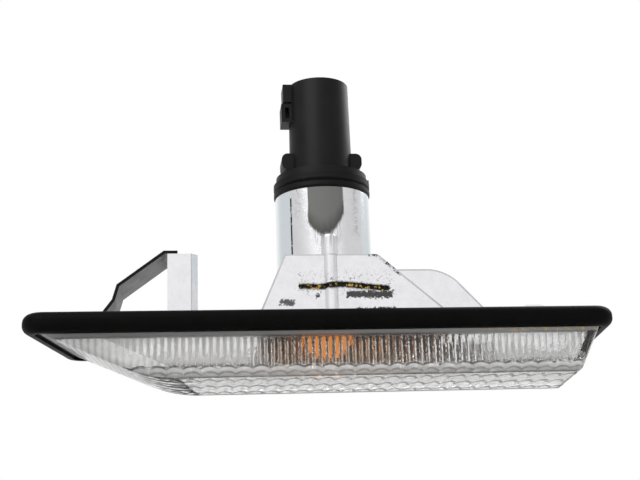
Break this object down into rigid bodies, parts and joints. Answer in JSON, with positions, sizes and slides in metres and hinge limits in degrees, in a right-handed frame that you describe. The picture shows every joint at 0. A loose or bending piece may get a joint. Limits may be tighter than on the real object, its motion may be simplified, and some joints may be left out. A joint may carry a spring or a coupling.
{
  "type": "car side light",
  "caption": "Side repeater lamp of a car: clear fluted lens, metallised housing, black rubber gasket, spring clip and turn-lock holder with an amber wedge bulb.",
  "frame": {"origin": "middle of the gasket's outline, on the plane of the lens face that the lamp stands on", "axes": "+X along the lamp, from the end with the long sloping lens ramp to the steep end; +Y across it; +Z from the lens face to the plug socket"},
  "size_m": [0.1128, 0.034, 0.0605],
  "materials": {
    "lens_clear": "clear acrylic, fluted inside",
    "housing_metallised": "vacuum-metallised mirror with worn and bare patches",
    "gasket_rubber": "matte black",
    "clip_steel": "blackened spring steel",
    "holder_plastic": "matte black",
    "seal_rubber": "matte black",
    "contact_metal": "tinned brass",
    "bulb_amber": "amber-coated glass"
  },
  "bodies": {
    "lamp": {"lens": "lens_clear", "housing": "housing_metallised", "gasket": "gasket_rubber", "spring_clip": "clip_steel"},
    "holder": {"bulb_holder": "holder_plastic", "holder_seal": "seal_rubber", "contact_left": "contact_metal", "contact_right": "contact_metal", "bulb": "bulb_amber"}
  },
  "joints": [
    {"name": "holder_turn", "type": "hinge", "parent": "lamp", "child": "holder", "pos_m": [-0.0006, -0.0019, 0.0365], "axis": [0, 0, 1], "range_deg": [0, 45]}
  ]
}
